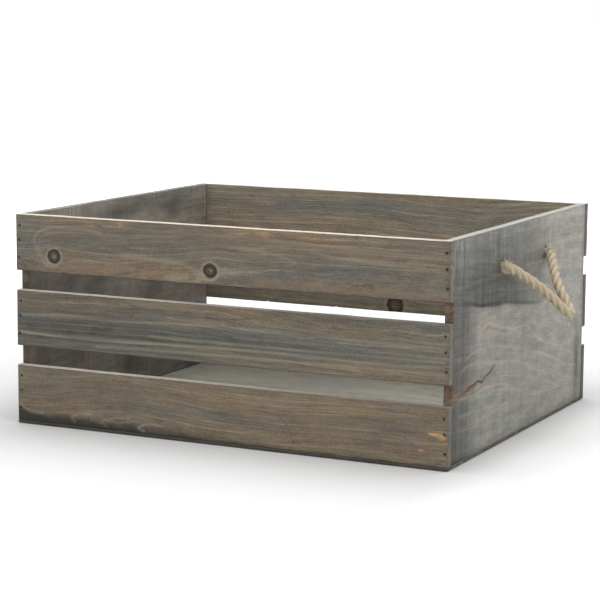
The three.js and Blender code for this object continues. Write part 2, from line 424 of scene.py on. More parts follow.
def boardMesh(aLines, bLines, thickness, relief, holes=(), rimRows=4, seed=0):
    # Two facing grids, outer and inner, whose rims sink along a quarter circle, joined by a strip around
    # the edge. relief(a, b, inner) is how far the face lies below its plane. Cells inside a hole are left
    # out, the corners around it move onto its circle, and a wall joins the two faces there.
    a, b = np.meshgrid(aLines, bLines, indexing="ij")
    length, width = aLines[-1], bLines[-1]
    rows, columns = a.shape
    removed = np.zeros((rows - 1, columns - 1), bool)
    for holeA, holeB, radius in holes:
        middleA, middleB = (a[:-1, :-1] + a[1:, 1:]) / 2, (b[:-1, :-1] + b[1:, 1:]) / 2
        removed |= np.hypot(middleA - holeA, middleB - holeB) < radius
    brink = nearCells(np.pad(removed, 1)) & nearCells(np.pad(~removed, 1))
    mouth = np.zeros_like(a)
    for holeA, holeB, radius in holes:
        away = np.hypot(a - holeA, b - holeB)
        snapped = brink & (away < radius * 1.6)
        a = np.where(snapped, holeA + (a - holeA) * radius / np.maximum(away, 1e-6), a)
        b = np.where(snapped, holeB + (b - holeB) * radius / np.maximum(away, 1e-6), b)
        flat = smoothStep(np.hypot(a - holeA, b - holeB), radius, radius + boardShared["holeWorn"])
        mouth = np.maximum(mouth, boardShared["holeSink"] * (1 - flat))
    inA = np.maximum(0, ease - np.minimum(a, length - a))
    inB = np.maximum(0, ease - np.minimum(b, width - b))
    sunk = ease - np.sqrt(np.maximum(ease**2 - np.minimum(inA**2 + inB**2, ease**2), 0))
    outer = sunk + mouth + relief(a, b, False) * (sunk < ease * 0.9)
    inner = thickness - sunk - mouth - relief(a, b, True) * (sunk < ease * 0.9)
    lift = []
    for k, run in enumerate((b, b, a, a)):
        lane = seed * 7 + k * 3
        size = boardShared["endWander"] if k < 2 else boardShared["edgeWander"]
        rough = size * (0.6 + 0.6 * wander(run, 23, lane) + 0.4 * wander(run, 3.1, lane + 1))
        chip = smoothStep(wander(run, 5.3, lane + 2), 0.92, 1.0) * boardShared["chipDepth"] * (k == 2)
        lift.append(np.maximum(rough, 0) + chip)
    felt = [np.maximum(0, 1 - away / boardShared["chipReach"]) ** 2 for away in (a, length - a, b, width - b)]
    movedA = a + lift[0] * felt[0] - lift[1] * felt[1]
    movedB = b + lift[2] * felt[2] - lift[3] * felt[3]
    index = np.arange(rows * columns).reshape(rows, columns)
    cells = np.stack([index[:-1, :-1], index[1:, :-1], index[1:, 1:], index[:-1, 1:]], axis=-1)[~removed]
    loop = np.concatenate([index[:, 0], index[-1, 1:], index[-2::-1, -1], index[0, -2:0:-1]])
    faceSize = rows * columns
    sheets = [np.stack([movedA, movedB, deep, a, b], -1).reshape(-1, 5) for deep in (outer, inner)]
    start, end = sheets[0][loop], sheets[1][loop]
    rings = [loop]
    for row in range(1, rimRows + 1):
        rings.append(2 * faceSize + (row - 1) * len(loop) + np.arange(len(loop)))
        sheets.append(start + (end - start) * row / (rimRows + 1))
    rings.append(loop + faceSize)
    quads = [cells, cells[:, ::-1] + faceSize]
    for one, two in zip(rings[:-1], rings[1:]):
        quads.append(np.stack([np.roll(one, -1), one, two, np.roll(two, -1)], axis=-1))
    gone = np.pad(removed, 1)
    # Each side of a cell: the way to the cell beyond it, and its two corners
    around = [
        ((0, -1), (0, 0), (1, 0)),
        ((1, 0), (1, 0), (1, 1)),
        ((0, 1), (1, 1), (0, 1)),
        ((-1, 0), (0, 1), (0, 0)),
    ]
    for (shiftI, shiftJ), first, second in around:
        beside = gone[1 + shiftI : rows + shiftI, 1 + shiftJ : columns + shiftJ]
        i, j = np.nonzero(removed & ~beside)
        p, q = index[i + first[0], j + first[1]], index[i + second[0], j + second[1]]
        quads.append(np.stack([p, q, q + faceSize, p + faceSize], axis=-1))
    sheets, quads = np.vstack(sheets), np.vstack(quads)
    used, quads = np.unique(quads, return_inverse=True)
    return sheets[used, :3], sheets[used, 3:], quads.reshape(-1, 4)


def drawnLines(a, b, lines):
    # Each line is a half width, a strength and a smooth curve's points: full on it, fading to both sides
    drawn = np.zeros_like(a)
    for half, strength, line in lines:
        bent, _ = smoothPath([(p, q, 0) for p, q in line], 1.0)
        near = (a > bent[:, 0].min() - half) & (a < bent[:, 0].max() + half)
        near = np.nonzero(near & (b > bent[:, 1].min() - half) & (b < bent[:, 1].max() + half))[0]
        if len(near):
            away = np.hypot(a[near, None] - bent[None, :, 0], b[near, None] - bent[None, :, 1]).min(axis=1)
            level = strength * (0.78 + 0.3 * wander(a[near], 21.0, int(line[0][0] * 7)))
            drawn[near] = np.maximum(drawn[near], level * smoothStep(away, half, half * 0.2))
    return drawn


def grainFields(points, plain, board, length, width, thickness, brads):
    # Rings are circles about a pith line that wanders along the board, and they bow around each knot
    a, b, c = points.T
    pithDepth, pithHeight, pithTilt = board["pith"]
    seed = board["seed"]
    bowed, nearest = b.copy(), np.full_like(a, 60.0)
    for knotA, knotB, radius, reach in board.get("knots", ()):
        bowed = knotB + (bowed - knotB) * (1 - 0.85 * blob(a, b, knotA, knotB, radius * reach, radius * 1.8))
        nearest = np.minimum(nearest, np.hypot(a - knotA, (b - knotB) * 1.06) * 7.0 / radius)
    for bumpA, bumpB, sizeA, sizeB, lift in board.get("bumps", ()):
        bowed = bowed + lift * blob(a, b, bumpA, bumpB, sizeA, sizeB)
    if "arch" in board:
        bowed = board["arch"](a, bowed)
    middle = pithHeight + pithTilt * a + 5 * wander(a, 140, seed) + 0.9 * wander(a, 37, seed + 1)
    deep = pithDepth + c + 3.5 * wander(a, 105, seed + 2)
    flow = np.stack([a + 900.0 * seed, np.hypot(deep, bowed - middle) + 37.0 * seed, b + c * 0.7], -1)
    tint = np.zeros((len(a), 3)) + (board.get("cool", 0.0), board.get("dark", 0.0), board.get("tan", 0.0))
    pitSpots = [(1, *brad, 1.1, 1.1, 1.2) for brad in brads]
    for channel, spotA, spotB, sizeA, sizeB, amount in [*board.get("spots", ()), *pitSpots]:
        tint[:, channel] += amount * blob(a, b, spotA, spotB, sizeA, sizeB)
    sawn, light = np.full_like(a, board.get("sawn", 0.35)), np.full_like(a, board.get("light", 0.0))
    if "shade" in board:
        lighter, rougher = board["shade"](a, b, c > thickness / 2)
        light += lighter
        sawn += rougher
    toEdge = np.minimum(np.minimum(a, length - a), np.minimum(b, width - b))
    outside = c < thickness / 2
    pale = drawnLines(a, b, board.get("paleLines", ())) * outside
    dark = drawnLines(a, b, board.get("darkLines", ())) * outside
    rust = drawnLines(a, b, board.get("rustLines", ())) * outside + board.get("rustInside", 0.0) * ~outside
    plainA, plainB = plain.T
    # the top band: the pale top edge of slats and panels, worn wood with a painted highlight
    topBandA, topBandB, topBandFrom, topBandTo = board.get("worn", (0, 1, 1.0, 1.0))
    top = (plainB > width - 0.4 * ease) * (topBandFrom + (topBandTo - topBandFrom) * smoothStep(a, topBandA, topBandB))
    ends = (np.minimum(plainA, length - plainA) < 0.4 * ease) * 1.0
    return {
        "flow": flow,
        "tint": tint,
        "marks": np.stack([nearest, sawn, np.clip(toEdge / 10, 0, 1)], -1),
        "lines": np.stack([pale, dark, light], -1),
        "stain": np.stack([rust, np.full_like(a, board.get("endLight", 0.0)), np.zeros_like(a)], -1),
        # the third channel marks each board's lower edge, where a shade is painted
        "rim": np.stack([top, ends, (plainB < 0.4 * ease) * 1.0], -1),
    }


def placeBoard(points, corner, aWay, bWay, cWay):
    return np.array(corner) + points[:, :1] * aWay + points[:, 1:2] * bWay + points[:, 2:] * cWay


# Wood. The first seven entries of a look are colours; the others set the strength and width of its marks.

slatLook = {
    "brown": tone(115, 102, 84),
    "cool": tone(95, 94, 87),
    "tan": tone(135, 112, 78),
    "pale": tone(146, 136, 118),
    "charcoal": tone(44, 44, 40),
    # top: the pale top edge, worn wood with a painted highlight
    "top": tone(196, 190, 180),
    "ends": tone(112, 111, 105),
    "streak": 0.1,
    "fine": 0.2,
    "cloud": 0.1,
    "grit": 0.2,
    "patch": 0.3,
    "paleLines": 0.4,
    "ringPitch": 5.2,
    "sawMarks": 0.03,
    "sawPitch": 0.5,
    "endPits": 0.7,
    "roughness": (0.5, 0.75),
}
panelLook = {
    "brown": tone(137, 133, 125),
    "cool": tone(125, 127, 122),
    "tan": tone(150, 132, 112),
    "pale": tone(170, 160, 146),
    "charcoal": tone(58, 55, 51),
    # top: the pale top edge, worn wood with a painted highlight
    "top": tone(158, 157, 152),
    "ends": tone(128, 94, 68),
    "streak": 0.07,
    "fine": 0.11,
    "cloud": 0.16,
    "grit": 0.19,
    "patch": 0.35,
    "paleLines": 0.22,
    "ringPitch": 13.0,
    "sawMarks": 0.16,
    "sawPitch": 0.6,
    "endPits": 0.85,
    "roughness": (0.5, 0.75),
}
sheetLook = {
    "brown": tone(142, 138, 126),
    "cool": tone(134, 133, 124),
    "tan": tone(148, 136, 116),
    "pale": tone(156, 150, 136),
    "charcoal": tone(44, 40, 34),
    "top": tone(62, 54, 44),
    "ends": tone(62, 54, 44),
    "streak": 0.07,
    "fine": 0.1,
    "cloud": 0.1,
    "grit": 0.1,
    "patch": 0.4,
    "paleLines": 0.1,
    "ringPitch": 22.0,
    "sawMarks": 0.02,
    "sawPitch": 0.5,
    "endPits": 0.5,
    "roughness": (0.6, 0.85),
}
knotRings = [
    (0.0, tone(112, 104, 86)),
    (0.12, tone(106, 98, 80)),
    (0.2, tone(64, 58, 46)),
    (0.28, tone(74, 68, 55)),
    (0.36, tone(36, 33, 27)),
    (0.52, tone(34, 31, 25)),
    (0.6, tone(66, 61, 50)),
    (0.66, tone(124, 117, 99)),
    (0.8, tone(140, 133, 115)),
    (1.0, tone(122, 114, 96)),
]

woodShared = {
    "bare": tone(205, 158, 102),
    "rust": tone(128, 98, 78),
    "split": tone(62, 48, 37),
    "knotCrack": tone(40, 36, 30),
    "knotRed": tone(104, 62, 44),
    "relief": 0.45,
    "shine": 0.35,
}


def swing(tree, value, amount, onto):
    # onto plus amount for a noise at its brightest, less it at its darkest
    return calc(tree, "MULTIPLY_ADD", band(tree, value, 0.3, 0.7, -1.0, 1.0), amount, onto)


def woodMaterial(name, look):
    material, tree, shader = newMaterial(name)
    flow = attribute(tree, "flow")
    ring = channels(tree, flow)[1]
    coolness, darkness, tanness = channels(tree, attribute(tree, "tint"))
    knot, sawn, edge = channels(tree, attribute(tree, "marks"))
    paleDrawn, darkDrawn, light = channels(tree, attribute(tree, "lines"))
    top, ends, undersideShade = channels(tree, attribute(tree, "rim"))
    rust, endLight = channels(tree, attribute(tree, "stain"))[:2]
    broad = noise(tree, flow, (0.005, 0.11, 0.02), (0, 0, 0), 4, 0.55, 0.3)
    streak = noise(tree, flow, (0.011, 0.34, 0.03), (5, 2, 1), 5, 0.6)
    fine = noise(tree, flow, (0.03, 1.1, 0.1), (2, 8, 3), 4, 0.65)
    fibre = noise(tree, flow, (0.09, 3.4, 0.4), (0, 0, 0), 3, 0.6)
    patch = noise(tree, flow, (0.008, 0.04, 0.04), (3, 5, 7), 3, 0.5, 0.5)
    cloud = noise(tree, flow, (0.045, 0.06, 0.1), (13, 1, 2), 5, 0.62)
    grit = noise(tree, flow, (0.5, 0.9, 0.7), (1, 9, 4), 3, 0.6)
    saw = noise(tree, flow, (look["sawPitch"], 0.006, 0.02), (7, 7, 1), 4, 0.7)
    # cool grey wood against brown wood
    cooler = calc(tree, "ADD", swing(tree, patch, look["patch"], 0.35), coolness)
    cooler = calc(tree, "ADD", cooler, swing(tree, broad, 0.2, 0.0), clamp=True)
    colour = mixed(tree, cooler, look["brown"], look["cool"])
    # tan where the stain is thin
    thin = calc(tree, "ADD", tanness, 0.15)
    tanned = calc(tree, "MULTIPLY", band(tree, broad, 0.46, 0.62), thin, clamp=True)
    tanned = calc(tree, "MULTIPLY", tanned, band(tree, streak, 0.4, 0.6))
    colour = mixed(tree, calc(tree, "MULTIPLY", tanned, 0.8), colour, look["tan"])
    bare = calc(tree, "ADD", tanness, swing(tree, cloud, 0.8, 0.0))
    spot = calc(tree, "MULTIPLY", band(tree, bare, 1.7, 2.6), 0.85)
    spot = calc(tree, "MULTIPLY", spot, band(tree, fine, 0.4, 0.56, 0.15, 1.0))
    spot = calc(tree, "MULTIPLY", spot, band(tree, tanness, 1.6, 3.0, 0.32, 1.0))
    colour = mixed(tree, spot, colour, woodShared["bare"])
    # late wood: a thin pale line at each ring, where the stain did not take
    rings = calc(tree, "MULTIPLY_ADD", streak, 3.0, ring)
    phase = calc(tree, "FRACT", calc(tree, "DIVIDE", rings, look["ringPitch"]))
    line = calc(tree, "MULTIPLY", band(tree, phase, 0.66, 0.92), band(tree, phase, 1.0, 0.95))
    lineStrength = calc(tree, "MULTIPLY", band(tree, broad, 0.38, 0.6, 0.15, 1.0), look["paleLines"])
    colour = mixed(tree, calc(tree, "MULTIPLY", line, lineStrength), colour, look["pale"])
    # light and dark streaks at several widths
    shade = 1.0
    for value, kind, share in (
        (streak, "streak", 1.0),
        (broad, "streak", 0.8),
        (fine, "fine", 1.0),
        (fibre, "fine", 0.8),
        (cloud, "cloud", 1.0),
        (grit, "grit", 1.0),
    ):
        shade = swing(tree, value, look[kind] * share, shade)
    sawPatch = noise(tree, flow, (0.03, 0.016, 0.02), (2, 6, 8), 2, 0.5)
    sawn = calc(tree, "MULTIPLY", sawn, band(tree, sawPatch, 0.4, 0.6, 0.15, 1.15))
    shade = calc(tree, "MULTIPLY_ADD", swing(tree, saw, look["sawMarks"], 0.0), sawn, shade)
    # light scales each board's brightness: on the back boards it is a painted light, and each shade function
    # adds its lighter and darker areas
    shade = calc(tree, "MULTIPLY", shade, calc(tree, "ADD", light, 1.0))
    colour = mixed(tree, 1.0, colour, grey(tree, shade), "MULTIPLY")
    # dark stain, and the lines drawn on this board: pale grain, rust and splits
    stained = calc(tree, "ADD", darkness, swing(tree, cloud, 0.2, 0.0))
    dirty = band(tree, darkness, 0.0, 0.2)
    stained = calc(tree, "MULTIPLY", band(tree, stained, 0.0, 1.0), dirty, clamp=True)
    colour = mixed(tree, stained, colour, look["charcoal"])
    paleShown = calc(tree, "MULTIPLY", paleDrawn, band(tree, streak, 0.3, 0.6, 0.7, 1.0))
    colour = mixed(tree, paleShown, colour, look["pale"])
    rusty = calc(tree, "MULTIPLY", rust, band(tree, cloud, 0.35, 0.6, 0.4, 1.0))
    colour = mixed(tree, rusty, colour, woodShared["rust"])
    split = calc(tree, "MULTIPLY", darkDrawn, band(tree, grit, 0.3, 0.55, 0.55, 1.0), clamp=True)
    colour = mixed(tree, split, colour, woodShared["split"])
    # pores and specks of dirt
    pore = calc(tree, "MULTIPLY", band(tree, fine, 0.36, 0.26), band(tree, grit, 0.48, 0.6))
    colour = mixed(tree, calc(tree, "MULTIPLY", pore, 0.5), colour, look["charcoal"])
    # grime in the last millimetres before an edge
    grime = calc(tree, "MULTIPLY", band(tree, edge, 0.3, 0.0), band(tree, cloud, 0.4, 0.65))
    colour = mixed(tree, calc(tree, "MULTIPLY", grime, 0.55), colour, look["charcoal"])
    # knots: a pale halo, a dark ring and a paler cracked heart
    knotRough = swing(tree, cloud, 0.7, swing(tree, fine, 0.35, knot))
    knotColour = ramp(tree, calc(tree, "DIVIDE", knotRough, 12.0), knotRings)
    crack = calc(tree, "MULTIPLY", band(tree, fibre, 0.5, 0.4), band(tree, knot, 3.0, 1.2))
    knotColour = mixed(tree, crack, knotColour, woodShared["knotCrack"])
    redness = calc(
        tree, "MULTIPLY", band(tree, tanness, 0.8, 1.5, 0.0, 0.5), band(tree, knotRough, 2.0, 4.0, 0.1, 1.0)
    )
    knotColour = mixed(tree, redness, knotColour, woodShared["knotRed"])
    colour = mixed(tree, band(tree, knotRough, 11.5, 7.5), colour, knotColour)
    # top edges: a pale band on slats and panels, worn wood with a painted highlight; and sawn ends
    topEdgeTone = calc(tree, "MULTIPLY", top, band(tree, cloud, 0.3, 0.5, 0.6, 1.0))
    colour = mixed(tree, topEdgeTone, colour, look["top"])
    endPits = calc(tree, "MULTIPLY", band(tree, grit, 0.42, 0.58), look["endPits"])
    endTone = mixed(tree, endPits, look["ends"], look["charcoal"])
    endTone = mixed(tree, band(tree, cloud, 0.5, 0.62, 0.0, 0.45), endTone, look["tan"])
    endShade = calc(tree, "ADD", endLight, 1.0, clamp=True)
    endTone = mixed(tree, 1.0, endTone, grey(tree, endShade), "MULTIPLY")
    colour = mixed(tree, calc(tree, "MULTIPLY", band(tree, ends, 0.3, 0.9), 0.9), colour, endTone)
    # painted shade: each board's lower edge darkened towards charcoal
    colour = mixed(tree, calc(tree, "MULTIPLY", undersideShade, 0.85), colour, look["charcoal"])
    rough = band(tree, streak, 0.3, 0.7, *look["roughness"])
    height = calc(tree, "MULTIPLY_ADD", fine, 0.5, calc(tree, "MULTIPLY", fibre, 0.35))
    height = calc(tree, "MULTIPLY_ADD", saw, look["sawMarks"] * 5.0, height)
    height = calc(tree, "MULTIPLY_ADD", pore, -0.4, height)
    height = calc(tree, "MULTIPLY_ADD", split, -0.8, height)
    finishShader(tree, shader, colour, rough, height, woodShared["relief"])
    shader.inputs["Specular IOR Level"].default_value = woodShared["shine"]
    return material


slatWood = woodMaterial("slatWood", slatLook)
panelWood = woodMaterial("panelWood", panelLook)
sheetWood = woodMaterial("sheetWood", sheetLook)


def bradPlaces(board, corner, aWay, bWay):
    # The brads' heads on this board, in its own measures
    found = []
    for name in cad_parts:
        if name.startswith("brad_" + board + "_"):
            low, high = nodeBox(name)
            middle = (low + high) / 2 - np.array(corner)
            found.append((float(middle @ aWay), float(middle @ bWay)))
    return found


def addBoard(
    node, board, corner, ways, size, material, brads=(), holes=(), steps=(2.6, 1.2),
    spots=((), ())
):
    length, width, thickness = size
    aWay, bWay, cWay = (np.array(way, float) for way in ways)
    seed = board["seed"]
    knots = board.get("knots", ())
    pitGrid, knotGrid = boardShared["pitGrid"], boardShared["knotGrid"]
    pits = (sorted({round(a) for a, b in brads}), sorted({round(b, 1) for a, b in brads}))
    finer = [list(spots[k]) + [(knot[k], knot[2] * 1.6, knotGrid) for knot in knots] for k in (0, 1)]
    aLines = gridLines(length, steps[0], finer[0] + [(a, 2.6, pitGrid) for a in pits[0]])
    bLines = gridLines(width, steps[1], finer[1] + [(b, 2.2, pitGrid) for b in pits[1]])

    def relief(a, b, inner):
        wave = 0.09 * (1 + wander(a, 41, seed + inner))
        wave = wave + 0.05 * (1 + wander(b * 1.7 + a * 0.02, 6.0, seed + 5))
        pitRadius = boardShared["pitRadius"]
        for bradA, bradB in brads if not inner else ():
            away = np.hypot(a - bradA, b - bradB)
            wave = wave + boardShared["pitDepth"] * smoothStep(away, pitRadius + 0.25, pitRadius - 0.3)
        for knotA, knotB, radius, _ in knots:
            away = np.hypot(a - knotA, b - knotB)
            wave = wave + 0.25 * blob(away, 0, radius * 0.95, 0, 0.9, 1) + 0.1 * smoothStep(away, radius, 0)
        if "crack" in board and not inner:
            wave = wave + board["crack"](a, b)
        return wave

    points, plain, quads = boardMesh(aLines, bLines, thickness, relief, holes, seed=seed)
    fields = grainFields(points, plain, board, length, width, thickness, brads)
    placed = placeBoard(points, corner, aWay, bWay, cWay)
    piece = makePiece(node + "_wood", placed, quads.tolist(), material, fields)
    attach(piece, "crate")
    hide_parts(node)
    return piece


def middleShade(a, b, inside):
    return (-0.15 * smoothStep(a, 260, 90) - 0.06 * smoothStep(b, 44, 52)) * ~inside, np.zeros_like(a)


# Each board below has: pith, the depth, height and tilt of the line its rings go around; knots, each a, b,
# radius and reach; bumps of the grain, each a, b, two sizes and a lift; spots, each a channel (0 cool, 1
# dark, 2 tan), a, b, two sizes and an amount; lines, each a half width, a strength and its points; worn,
# the strength of the pale top edge, worn wood with a painted highlight, from one a to another and from one
# strength to another. The single numbers cool, dark, tan, light, sawn and endLight hold over the whole
# board; steps and finer space its mesh.

slatBoards = {
    "slat_front_top": {
        "seed": 3,
        "pith": (16, 4, 0.01),
        "knots": [(43.6, 16.2, 6.8, 3.0), (215.5, 13.1, 6.8, 3.6)],
        "light": -0.05,
        "spots": [
            (2, 100, 49, 52, 7, 2.1),
            (2, 300, 50, 100, 6, 2.0),
            (2, 170, 8, 90, 6, 0.1),
            (0, 100, 30, 60, 12, 0.05),
            (0, 380, 20, 70, 12, 0.25),
            (0, 330, 25, 70, 12, 0.35),
            (0, 8, 28, 16, 30, 0.6),
            (0, 60, 32, 60, 10, 0.2),
            (0, 180, 34, 60, 9, 0.1),
            (0, 120, 8, 70, 8, -0.5),
            (1, 455, 28, 5, 30, 0.25),
        ],
        "paleLines": [
            (2.2, 0.55, [(36, 6), (29, 14), (25, 22), (22, 29), (23, 35), (29, 41), (40, 44), (54, 45)]),
            (1.6, 0.3, [(38, 8), (32, 16), (28, 24), (27, 31), (31, 36), (42, 39), (60, 40)]),
            (2.6, 0.35, [(50, 44.6), (64, 45), (78, 44.5), (96, 42.5)]),
            (3.2, 0.55, [(204, 4), (199, 12), (190, 17), (176, 19), (150, 20), (120, 22)]),
            (2.6, 0.6, [(203, 12), (210, 6), (218, 5), (224, 9)]),
            (2.6, 0.6, [(33, 12), (38, 7), (46, 7)]),
            (1.8, 0.45, [(236, 37), (266, 35), (286, 32), (301, 28), (303, 25), (292, 23)]),
            (1.8, 0.45, [(320, 37), (349, 33.6), (385, 31), (426, 29.7), (447, 28.5)]),
            (1.6, 0.3, [(60, 53), (140, 48), (230, 47), (330, 44), (452, 40)]),
        ],
        "rustLines": [
            (9.0, 0.24, [(60, 10), (110, 9), (160, 6), (196, 3)]),
            (5.0, 0.22, [(60, 24), (120, 21), (170, 14)]),
            (7.0, 0.3, [(236, 6), (300, 6), (380, 5), (452, 5)]),
            (5.0, 0.2, [(240, 46), (340, 42), (452, 38)]),
        ],
        "darkLines": [
            (1.3, 0.9, [(365.8, 56), (366, 52.5)]),
            (1.4, 0.3, [(70, 30), (120, 29), (160, 25), (188, 24)]),
            (1.3, 0.8, [(43.4, 13.6), (43.9, 16.4), (43.5, 19.2)]),
            (1.3, 0.7, [(215.2, 10.6), (215.8, 13), (215.4, 15.8)]),
            (1.2, 0.25, [(60, 17), (100, 15), (150, 12), (185, 11)]),
            (1.2, 0.22, [(232, 24), (280, 21), (340, 20), (400, 22)]),
        ],
    },
    "slat_front_middle": {
        "seed": 5,
        "pith": (30, 70, 0.0),
        "light": -0.03,
        "shade": middleShade,
        "bumps": [(225, 50, 70, 9, -5)],
        "worn": (60, 330, 0.9, 0.1),
        "cool": 0.28,
        "tan": -0.06,
        "spots": [
            (0, 60, 20, 120, 13, 1.1),
            (0, 280, 25, 190, 8, 0.6),
            (1, 30, 24, 110, 18, 0.15),
            (1, 60, 22, 100, 4, 0.36),
            (1, 250, 24, 130, 3.5, 0.36),
            (1, 150, 17.5, 170, 1.6, 0.45),
            (1, 60, 11, 120, 1.5, 0.4),
            (1, 300, 12.5, 130, 1.5, 0.35),
            (1, 120, 28, 150, 1.5, 0.35),
            (1, 380, 19, 80, 1.3, 0.35),
            (1, 240, 5, 120, 1.4, 0.3),
            (1, 60, 37, 80, 1.4, 0.2),
            (1, 330, 39, 90, 1.6, 0.2),
            (0, 230, 50, 90, 8, -0.7),
            (2, 205, 50, 75, 6, 1.5),
            (2, 20, 52, 40, 4, 1.2),
            (2, 400, 7, 80, 8, 0.8),
            (0, 400, 6, 90, 9, -0.6),
            (1, 340, 51, 90, 6, 0.16),
        ],
        "paleLines": [
            (2.0, 0.55, [(5, 31), (60, 34), (120, 33), (180, 35), (260, 36), (350, 34), (452, 33)]),
            (1.8, 0.65, [(4, 14), (60, 12), (120, 12.5), (200, 15), (300, 16), (380, 14), (452, 16)]),
            (1.8, 0.6, [(150, 21), (230, 20.5), (330, 20.5), (452, 21)]),
            (1.8, 0.6, [(90, 6), (180, 8), (300, 9), (452, 10)]),
            (1.6, 0.3, [(240, 27), (330, 27), (452, 25)]),
            (5.0, 0.3, [(120, 50), (150, 53), (190, 51)]),
        ],
        "darkLines": [
            (1.5, 0.45, [
                (118, 53), (135, 48), (152, 45), (180, 43.4), (208, 42.9), (238, 43.6), (268, 47), (296, 52)
            ]),
        ],
    },
    "slat_front_bottom": {
        "seed": 8,
        "pith": (22, -14, 0.0),
        "light": -0.04,
        "bumps": [(76, 6, 14, 4, 4), (116, 8, 18, 5, 5), (152, 5, 14, 4, 4)],
        "worn": (60, 420, 0.85, 0.15),
        "cool": -0.2,
        "tan": 0.15,
        "spots": [
            (1, 20, -2, 60, 11, 0.9),
            (1, 4, 6, 12, 9, 0.5),
            (1, 110, -2, 90, 10, 0.95),
            (1, 230, -3, 120, 6, 0.6),
            (1, 360, -4, 120, 5, 0.5),
            (2, 451, 27, 7, 2.6, 3.6),
            (2, 443, 30, 8, 1.9, 3.2),
            (2, 431, 14, 7, 1.8, 3.2),
            (2, 300, 38, 160, 14, 0.6),
            (0, 150, 22, 90, 10, 0.4),
        ],
        "paleLines": [
            (1.8, 0.7, [(84, 13.5), (72, 12.5), (64, 10), (62, 7), (66, 4)]),
            (1.8, 0.7, [(128, 13), (116, 12.6), (104, 10.4), (97, 7), (101, 3)]),
            (1.8, 0.7, [(164, 9), (152, 10), (142, 8), (138, 5), (144, 2)]),
            (2.0, 0.5, [(3, 17), (7, 13), (16, 10), (30, 9.5)]),
        ],
        "darkLines": [
            (1.3, 0.5, [(291, 21), (298, 9)]),
            (1.3, 0.5, [(295, 25), (304, 8)]),
            (1.2, 0.3, [(288, 30), (296, 24)]),
        ],
    },
    # The back boards are made brighter with a painted light that stands in for the light inside the crate;
    # endLight darkens their ends again
    "slat_back_bottom": {"seed": 12, "pith": (24, 60, 0.0), "light": 0.2, "endLight": -0.55},
    "slat_back_middle": {
        "seed": 14,
        "pith": (20, 58, 0.0),
        "knots": [(213.7, 7.6, 9.4, 3.0)],
        "light": 0.3,
        "endLight": -0.55,
        "cool": 0.2,
        "spots": [(2, 213.7, 7.6, 12, 10, 1.7), (2, 310, 13, 4, 3, 2.0)],
    },
    "slat_back_top": {
        "seed": 17,
        "pith": (26, -20, 0.0),
        "light": 0.5,
        "endLight": -0.55,
        "spots": [(2, 300, 14, 140, 12, 0.1), (0, 100, 34, 90, 20, 0.5), (0, 300, 40, 130, 12, 0.6)],
    },
}


def addSlats():
    for node, board in slatBoards.items():
        low, high = nodeBox(node)
        way = 1 if "front" in node else -1
        corner = (low[0], low[1], low[2]) if way > 0 else (high[0], high[1], low[2])
        ways = ((way, 0, 0), (0, 0, 1), (0, way, 0))
        brads = bradPlaces(node.replace("slat_", ""), corner, np.array(ways[0]), np.array(ways[1]))
        addBoard(node, board, corner, ways, (high - low)[[0, 2, 1]], slatWood, brads)


splitLine = [
    (24, 63), (30, 62.5), (41, 65), (52, 65.5), (62, 67.5), (72, 65), (82, 69), (93, 70.5), (99, 73.5),
    (104, 75.5)
]
wavyLine = [
    (0, 147), (29, 142), (68, 135), (104, 131), (133, 130), (163, 126), (194, 121), (226, 118), (308, 120)
]


def rightArch(a, b):
    # Grain that runs level and then falls away to the back, less so near the top
    near = smoothStep(b, 150, 105)
    return b + near * 0.27 * 25 * np.log1p(np.exp((a - 130) / 25)) + (1 - near) * 0.14 * np.minimum(a, 200)


def rightCrack(a, b):
    # The split opens to about a millimetre in its middle and closes at its ends
    line = np.interp(a, *np.array(splitLine).T)
    width = 0.5 + 0.6 * np.clip(1 - np.abs(a - 66) / 40, 0, 1) + 0.3 * wander(a, 4.0, 32)
    ends = smoothStep(a, 24, 34) * smoothStep(a, 106, 98)
    return 1.2 * ends * smoothStep(np.abs(b - line), np.maximum(width, 0.3), 0)


def rightShade(a, b, inside):
    # How much lighter and how much rougher: dark above a wavy line, at the left and at the base
    line = np.interp(a, *np.array(wavyLine).T)
    above = smoothStep(b, line - 0.8, line + 0.8)
    top = above * (-0.36 - 0.34 * blob(a, b, 85, 152, 95, 44) + 0.37 * smoothStep(a, 180, 290))
    top = top + 0.12 * above * smoothStep(b, 172, 196)
    top = top + 0.07 * above * wander(b, 4.0, 71) + 0.05 * above * wander(b, 11.0, 72)
    lip = -0.2 * blob(b, 0, line + 2.0, 0, 3.2, 1) * smoothStep(a, 270, 200)
    under = 0.06 * (1 - above) * smoothStep(a, 58, 62) * smoothStep(b, line - 34, line - 24)
    left = -0.58 * smoothStep(a, 68, 26) * (1 - above)
    left = left - 0.1 * smoothStep(a, 20, 4) * smoothStep(b, 108, 60) - 0.05
    right = 0.16 * smoothStep(a, 150, 290) * smoothStep(b, 20, 70)
    base = -0.22 * smoothStep(b, 9, 0) + 0.07 * smoothStep(b, 60, 30)
    stripe = -0.75 * blob(a, b, 346, 42, 8.0, 38) - 0.35 * smoothStep(a, 352, 361) + 0.06 * wander(a, 5.0, 73)
    lighter = top + lip + under + left + right + base + stripe
    rougher = 2.7 * above * smoothStep(a, 300, 120) + 1.4 * smoothStep(a, 70, 10)
    rougher = rougher + 2.0 * blob(a, b, 344, 50, 14, 50)
    return lighter * ~inside, rougher * ~inside


def leftArch(a, b):
    # Grain that climbs to the middle of the board and falls again
    return b - 16 * np.exp(-(((a - 190) / 95) ** 2)) * smoothStep(b, 210, 60)


